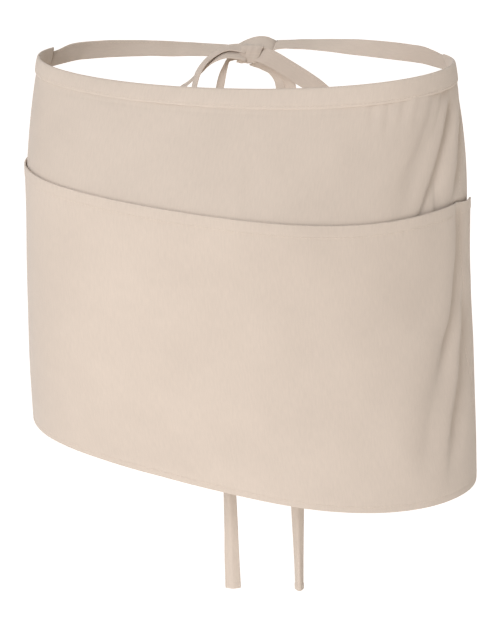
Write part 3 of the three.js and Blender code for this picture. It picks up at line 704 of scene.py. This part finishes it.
def make_pocket():
    seam = POCKET_DROP + POCKET_HEM
    low_seam = APRON_HEIGHT - BOTTOM_HEM
    drops = steps((POCKET_DROP, POCKET_DROP + 1, 0.35), (POCKET_DROP + 1, seam - 2, 1.25),
                  (seam - 2, seam + 2, 0.7), (seam + 2, low_seam - 2, 1.85),
                  (low_seam - 2, low_seam + 2, 0.8), (low_seam + 2, APRON_HEIGHT, 0.5))
    sagging = pocket_drops(drops, ACROSS)
    columns = hang(ACROSS)
    index = np.clip(sagging / APRON_HEIGHT * FALL_STEPS, 0, FALL_STEPS)
    low = np.minimum(index.astype(int), FALL_STEPS - 1)
    across_index = np.arange(len(ACROSS))[None, :]
    place = mix(columns[low, across_index], columns[low + 1, across_index], (index - low)[..., None])
    out = normalized(np.cross(np.gradient(place, axis=0), np.gradient(place, axis=1)))
    lower = np.clip((drops - POCKET_DROP) / MOUTH_REACH, 0, 1)[:, None]
    corner = np.exp(-((ACROSS / HALF_WIDTH - 0.985) / 0.05) ** 2)[None, :]
    ease = (POCKET_EASE + HEM_INSIDE - HEM_EXTRA + 1.0 * corner) * (1 - smooth(lower, 0, 1))
    hem = HEM_EXTRA * (1 - smooth(drops, seam - 0.3, seam + 1.2))[:, None]
    ripple = 0.08 * np.sin(ACROSS / 1.9 + np.sin(ACROSS / 7))[None, :]
    pulls = ripple * np.exp(-((drops - seam) / 3.0) ** 2)[:, None]
    lift = LAYER_GAP + CANVAS + ease + hem + pulls + pocket_relief(ACROSS, drops) + side_seams(ACROSS)
    lift = lift + seam_dip(0.16, drops - seam)[:, None] + seam_dip(0.12, drops - low_seam)[:, None]
    surface = place + out * lift[..., None]
    thickness = CANVAS + hem / HEM_EXTRA * HEM_INSIDE
    piece = slab("cloth_pocket", surface, out, thickness, flat_grid(ACROSS, drops))
    finish_piece(piece, pocket_cotton, "pocket_cotton", "pocket_panel")
    lines = [line_across(surface, out, nearest(drops, row)) for row in (seam, low_seam)]
    lines += [line_down(surface, out, c, 4, -8) for c in hem_columns()]
    stitches = make_stitches("pocket_stitches", "pocket_cotton", lines)


# The band's profile over the cloth's top edge: drop, and how far out of the cloth's face
BAND_PROFILE = [(BAND_HEIGHT, -0.8), (14.4, -0.5), (13.6, -0.3), (13, -0.36), (12.2, -0.2), (8, 0), (4, 0),
                (1.6, -0.15), (0.5, -0.6), (0, -1.3), (0.5, -2.0), (1.6, -2.4), (4, -2.5), (8, -2.5),
                (BAND_HEIGHT, -2.5)]
BAND_SEAM = 13
BAND_ROWS = 24


def make_band():
    fine = spline([(d, o, 0, 0) for d, o in BAND_PROFILE], 66)[:, :2]
    drops = np.clip(fine[:, 0], 0, BAND_HEIGHT)
    grid = np.linspace(0, BAND_HEIGHT + 1, BAND_ROWS + 1)
    place, out = cloth_grid(ACROSS, grid)
    index = drops / (BAND_HEIGHT + 1) * BAND_ROWS
    low = np.minimum(index.astype(int), BAND_ROWS - 1)
    share = (index - low)[:, None, None]
    base = mix(place[low], place[low + 1], share)
    face = mix(out[low], out[low + 1], share)
    pucker = 0.05 * np.sin(ACROSS / 2.3 + np.sin(ACROSS / 9))[None, :] * smooth(drops, 8, 13)[:, None]
    surface = base + face * (fine[:, 1][:, None] + LAYER_GAP + TAPE + pucker)[..., None]
    direction = normalized(np.cross(np.gradient(surface, axis=0), np.gradient(surface, axis=1)))
    across = np.concatenate([[0], np.cumsum(np.hypot(*np.diff(fine, axis=0).T))])
    if np.sum(direction[0] * out[-1]) > 0:
        direction = -direction
    piece = slab("band_tape", surface, -direction, TAPE, flat_grid(ACROSS, across))
    finish_piece(piece, band_cotton, "band_tape", "waistband")
    row = nearest(fine[:20, 0], BAND_SEAM)
    stitches = make_stitches("band_stitches", "band_tape", [(surface[row][2:-2], -direction[row][2:-2])])


make_panel()
make_pocket()
make_band()


# Ties, loops and knot

WAIST_X, WAIST_Y, WAIST_RUN = FALL[0]


def distance_behind(x):
    sign = math.copysign(1, x - KNOT_MIDDLE[0])
    behind = (WAIST_Y > 0) & (WAIST_RUN * sign > 0)
    return WAIST_RUN[behind][np.argmin(np.abs(WAIST_X[behind] - x))]


def table_at(table, distance):
    table = np.array(table, float)
    return [np.interp(distance, table[:, 0], table[:, k]) for k in range(1, table.shape[1])]


def make_tape(name, middles, across, widths, held, *nodes, fold=0.0):
    parts, length, seam = tape_parts(middles, across, widths, fold=fold)
    piece = finish_piece(new_object(name, *parts), tie_cotton, "tie_tape", *nodes)
    stitches = make_stitches(name + "_stitches", "tie_tape", [(seam[0][3:-3], seam[1][3:-3])])


def make_tie(name, sign, line, inside, cad_name):
    start = sign * (HALF_WIDTH + LAYER_GAP)
    reach = (KNOT_MIDDLE[0] + sign * (KNOT_WIDTH / 2 + KNOT_GAP), KNOT_MIDDLE[1] + TIE_SET_BACK)
    end = distance_behind(reach[0])
    column = hang([start])[:, 0]
    foot = np.array([np.interp(BAND_HEIGHT, FALL_DROPS, column[:, k]) for k in range(3)])
    upward = normalized(column[0] - foot)
    distance = mix(start, end, np.linspace(0, 1, 28))
    near = 1 - smooth(np.abs(end - distance), 0, TIE_PINCH)
    far = (1 - smooth(np.abs(distance - start), 0, TIE_TURN))[:, None]
    plan_x = np.interp(distance, WAIST_RUN, WAIST_X)
    plan_y = np.interp(distance, WAIST_RUN, WAIST_Y)
    height, lean = table_at(line, np.abs(end - distance))
    x = mix(plan_x, reach[0], near ** 2) + upward[0] * TIE_HEIGHT * far[:, 0]
    y = mix(plan_y, reach[1], near) + upward[1] * TIE_HEIGHT * far[:, 0]
    z = mix(height, TIE_HEIGHT, far[:, 0])
    inward = normalized(np.stack([-plan_x, -plan_y, 0 * plan_x], -1))
    lean = np.radians(lean)[:, None]
    width_direction = mix(np.array([0, 0, 1.0]) * np.cos(lean) + inward * -np.sin(lean), upward, far)
    controls = np.hstack([np.stack([x, y, z], -1), width_direction])
    ends = []
    for px, py, pz, angle in inside:
        angle = math.radians(angle)
        ends.append([*(KNOT_MIDDLE + np.array([px, py, pz])), 0, math.sin(angle), math.cos(angle)])
    points = spline(np.vstack([controls, ends]), 150)
    make_tape(name, points[:, :3], points[:, 3:6], TIE_WIDTH, "stretched", cad_name)


make_tie("tape_left", -1, TIE_LEFT_LINE, TIE_LEFT_INSIDE, "tie_left")
make_tie("tape_right", 1, TIE_RIGHT_LINE, TIE_RIGHT_INSIDE, "tie_right")

for loop_name, loop_route, loop_node in (("loop_left", LOOP_LEFT, "bow_loop_left"),
                                         ("loop_right", LOOP_RIGHT, "bow_loop_right")):
    loop_middles, loop_across, loop_widths, loop_fold = route_frames(loop_route, KNOT_MIDDLE, 190)
    make_tape(loop_name, loop_middles, loop_across, loop_widths, "folded", loop_node, fold=loop_fold)

# The knot's wrap, measured from the knot's middle
WRAP_MIDDLE = (-4.6, -0.3, 0.35)
WRAP_WIDTH = 16.0
WRAP_HEIGHT = 14.6
WRAP_DEPTH = 12.0
WRAP_SLANT = 0.35
WRAP_SQUARENESS = 0.5
CORE_SHIFT = 4.0
CORE_SECTIONS = [(-13, 0.35), (-11, 0.66), (-8, 0.84), (-4, 0.88), (0, 0.86), (2, 0.8), (3.6, 0.5)]


def wrap_ring(angle, x, scale):
    """A place round the knot at an angle, x along it, on a ring of a share of the wrap's size."""
    side = np.sign(np.cos(angle)) * np.abs(np.cos(angle)) ** WRAP_SQUARENESS
    up = np.sign(np.sin(angle)) * np.abs(np.sin(angle)) ** WRAP_SQUARENESS
    y = -side * WRAP_DEPTH / 2 * scale
    z = up * WRAP_HEIGHT / 2 * scale
    return np.stack([WRAP_MIDDLE[0] + x + WRAP_SLANT * z, WRAP_MIDDLE[1] + y, WRAP_MIDDLE[2] + z], -1)


def make_knot():
    angle = np.radians(np.linspace(-190, 180, 120))[:, None]
    side = np.linspace(-1, 1, 29)[None, :]
    round_ring = 1 - 0.07 * np.abs(side) ** 5 + 0.022 * np.cos(3 * math.pi * side + 1.2 * np.sin(angle))
    spiral = 1 - 0.03 * smooth(-angle, math.radians(150), math.radians(190))
    place = wrap_ring(angle, side * WRAP_WIDTH / 2 * (1 + 0.03 * np.sin(2 * angle)), round_ring * spiral)
    out = normalized(np.cross(np.gradient(place, axis=0), np.gradient(place, axis=1)))
    middle = np.array(WRAP_MIDDLE)
    out = out * np.sign(np.sum(out * (place - middle), axis=-1, keepdims=True))
    flat = np.stack(np.broadcast_arrays(side * WRAP_WIDTH / 2, np.degrees(angle) / 8), -1)
    wrap = slab_parts(KNOT_MIDDLE + place, out, TAPE, flat)
    count = 48
    turn = np.arange(count) / count * 2 * math.pi
    rings = [wrap_ring(turn, np.full(count, x + CORE_SHIFT), share) for x, share in CORE_SECTIONS]
    rings = np.concatenate(rings)
    faces = []
    for i in range(len(CORE_SECTIONS) - 1):
        for k in range(count):
            a, b = i * count + k, i * count + (k + 1) % count
            faces.append([a, b, b + count, a + count])
    last = (len(CORE_SECTIONS) - 1) * count
    faces += [list(range(count))[::-1], [last + k for k in range(count)]]
    core = KNOT_MIDDLE + rings, faces, rings[:, :2]
    piece = new_object("knot_wrap", *joined([wrap, core]))
    finish_piece(piece, tie_cotton, "tie_tape", "knot")


make_knot()


# Floor and light

FLOOR_SIZE = 80
FLOOR_HEIGHT = -1.4
FLOOR_PAINT = 0.92
FLOOR_GLOW = 0.52
FLOOR_GLOW_COLOUR = (1, 0.92, 0.86)
STUDIO_COLOUR = (1, 0.96, 0.88)
STUDIO_STRENGTH = 0.16


def make_floor():
    bpy.ops.mesh.primitive_plane_add(size=FLOOR_SIZE, location=(0, 0, FLOOR_HEIGHT))
    floor = bpy.context.object
    floor.name = "floor"
    material = bpy.data.materials.new("floor_paint")
    material.use_nodes = True
    shader = material.node_tree.nodes["Principled BSDF"]
    shader.inputs["Base Color"].default_value = (FLOOR_PAINT, FLOOR_PAINT, FLOOR_PAINT, 1)
    shader.inputs["Roughness"].default_value = 1
    shader.inputs["Specular IOR Level"].default_value = 0
    shader.inputs["Emission Color"].default_value = (*FLOOR_GLOW_COLOUR, 1)
    shader.inputs["Emission Strength"].default_value = FLOOR_GLOW
    floor.data.materials.append(material)


def sun(name, azimuth, elevation, strength, softness, colour=(1, 1, 1)):
    """A light from a far softbox. Azimuth 0 shines onto the front, and grows towards the right."""
    turn, lift = math.radians(azimuth), math.radians(elevation)
    back = Vector((math.sin(turn) * math.cos(lift), -math.cos(turn) * math.cos(lift), math.sin(lift)))
    data = bpy.data.lights.new(name, "SUN")
    data.energy = strength
    data.angle = math.radians(softness)
    data.color = colour
    light = bpy.data.objects.new(name, data)
    light.rotation_euler = back.to_track_quat("Z", "Y").to_euler()
    bpy.context.scene.collection.objects.link(light)


def make_world():
    world = bpy.data.worlds.new("studio")
    world.use_nodes = True
    background = world.node_tree.nodes["Background"]
    background.inputs["Color"].default_value = (*STUDIO_COLOUR, 1)
    background.inputs["Strength"].default_value = STUDIO_STRENGTH
    bpy.context.scene.world = world
    bpy.context.scene.view_settings.view_transform = "Standard"


make_floor()
make_world()
sun("key", -17, 22, 2.22, 25, (0.9, 0.93, 1.0))
sun("overhead", 0, 89, 0.9, 60, (1, 0.98, 0.95))
sun("rim", 125, 15, 0.2, 40)
